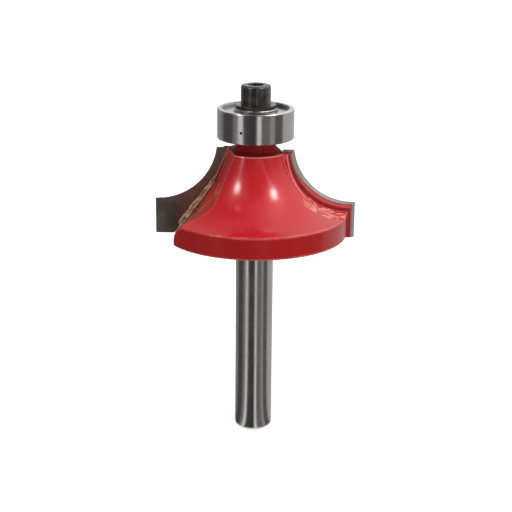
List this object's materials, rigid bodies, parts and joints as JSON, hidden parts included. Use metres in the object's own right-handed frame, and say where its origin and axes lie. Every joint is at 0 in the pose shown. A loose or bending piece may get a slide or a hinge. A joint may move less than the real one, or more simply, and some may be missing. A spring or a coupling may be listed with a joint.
{
  "type": "router bit",
  "caption": "Round-over router bit with carbide tips brazed to a red flanged head, a pilot bearing held by a socket screw, and a quarter-inch shank.",
  "frame": {"origin": "centre of the shank's end face, the lowest face of the bit", "axes": "+Z along the shank's axis towards the pilot bearing, X through the two cutting edges"},
  "size_m": [0.0334, 0.0308, 0.0605],
  "materials": {
    "red_enamel": "glossy red paint on the head, bare ground steel on the shank",
    "tungsten_carbide": "ground, dark grey",
    "braze_alloy": "dull, heat-stained",
    "bearing_steel": "fine ground, bright",
    "shield_steel": "pressed sheet, bright",
    "spring_steel": "drawn wire",
    "ball_steel": "polished",
    "cage_steel": "pressed",
    "black_oxide": "black oxide, satin"
  },
  "bodies": {
    "bit": {"bit_body": "red_enamel", "carbide_tip_a": "tungsten_carbide", "carbide_tip_b": "tungsten_carbide", "braze_a": "braze_alloy", "braze_b": "braze_alloy", "bearing_inner_ring": "bearing_steel", "washer": "black_oxide", "socket_screw": "black_oxide"},
    "bearing_race": {"bearing_outer_ring": "bearing_steel", "shield_top": "shield_steel", "shield_bottom": "shield_steel", "shield_ring_top": "spring_steel", "shield_ring_bottom": "spring_steel"},
    "ball_train": {"ball_cage": "cage_steel", "ball_1": "ball_steel", "ball_2": "ball_steel", "ball_3": "ball_steel", "ball_4": "ball_steel", "ball_5": "ball_steel", "ball_6": "ball_steel", "ball_7": "ball_steel"}
  },
  "joints": [
    {"name": "bearing_spin", "type": "hinge", "parent": "bit", "child": "bearing_race", "pos_m": [0, 0, 0.05424], "axis": [0, 0, 1], "continuous": true},
    {"name": "ball_train_spin", "type": "hinge", "parent": "bit", "child": "ball_train", "pos_m": [0, 0, 0.05424], "axis": [0, 0, 1], "continuous": true}
  ],
  "couplings": [
    {"joint": "ball_train_spin", "follows": "bearing_spin", "ratio": 0.63635}
  ]
}
